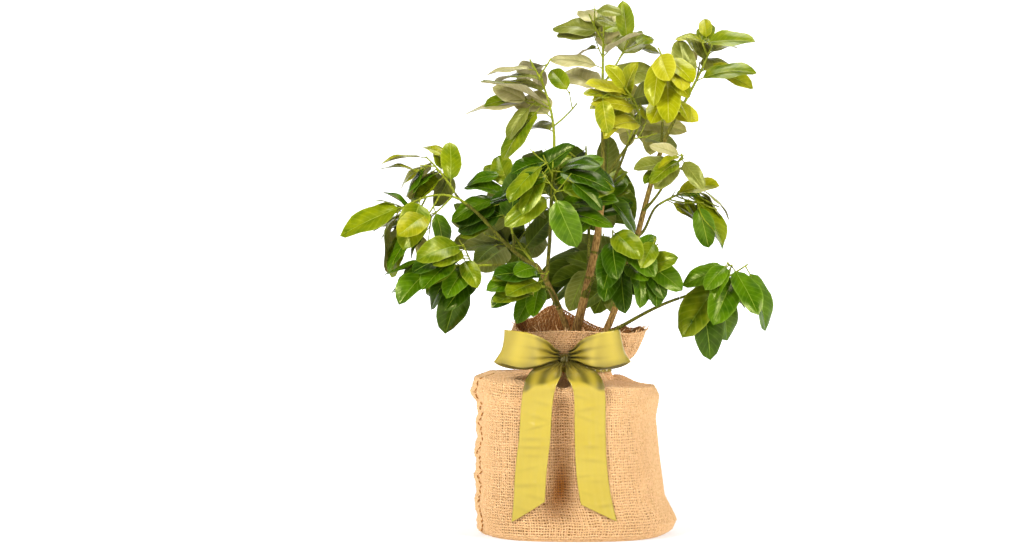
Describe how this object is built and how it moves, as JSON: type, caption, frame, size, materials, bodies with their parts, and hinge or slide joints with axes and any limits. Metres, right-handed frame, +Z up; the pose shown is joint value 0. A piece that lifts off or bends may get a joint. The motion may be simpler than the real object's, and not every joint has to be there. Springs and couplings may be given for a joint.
{
  "type": "potted lime tree",
  "caption": "Young lime tree with forked boughs and glossy leaves, in a nursery pot dressed in a burlap sack that a satin ribbon ties in a bow.",
  "frame": {"origin": "centre of the sack's flat underside, on the ground", "axes": "+Z up along the trunk, -Y towards the front where the bow is, +X to the right as seen from the front"},
  "size_m": [0.4838, 0.2884, 0.6008],
  "materials": {
    "burlap": "coarse open weave, matt",
    "black_plastic": "moulded, matt",
    "potting_soil": "crumbly, matt",
    "satin": "satin",
    "bark": "fine-grained bark",
    "leaf": "glossy",
    "leaf_bright": "glossy",
    "leaf_young": "glossy"
  },
  "bodies": {
    "root": {"burlap_sack": "burlap", "nursery_pot": "black_plastic", "potting_soil": "potting_soil", "ribbon_band": "satin", "ribbon_knot": "satin", "bow_loop_left": "satin", "bow_loop_right": "satin", "bow_tail_left": "satin", "bow_tail_right": "satin", "trunk": "bark", "bough_centre": "bark", "bough_left": "bark", "bough_right": "bark", "bough_front": "bark", "bough_far_left": "bark", "bough_high_left": "bark", "bough_low_left": "bark", "bough_inner_left": "bark", "bough_low_front": "bark", "bough_face": "bark", "bough_top": "bark", "bough_flush_left": "bark", "bough_flush": "bark", "bough_top_right": "bark", "bough_right_high": "bark", "bough_right_side": "bark", "bough_low_right": "bark", "bough_right_front": "bark", "bough_middle": "bark", "bough_back_left": "bark", "bough_back": "bark", "bough_back_right": "bark", "bough_back_top": "bark", "crown_far_left": "leaf_bright", "crown_high_left": "leaf_bright", "crown_low_left": "leaf", "crown_inner_left": "leaf", "crown_low_front": "leaf", "crown_face": "leaf", "crown_upper_left": "leaf", "crown_top": "leaf", "crown_flush_left": "leaf_young", "crown_flush": "leaf_young", "crown_top_right": "leaf_bright", "crown_right_high": "leaf_young", "crown_right_side": "leaf_bright", "crown_low_right": "leaf", "crown_right_front": "leaf", "crown_middle": "leaf", "crown_back_left": "leaf", "crown_back": "leaf", "crown_back_right": "leaf", "crown_back_top": "leaf_bright"}
  },
  "joints": []
}
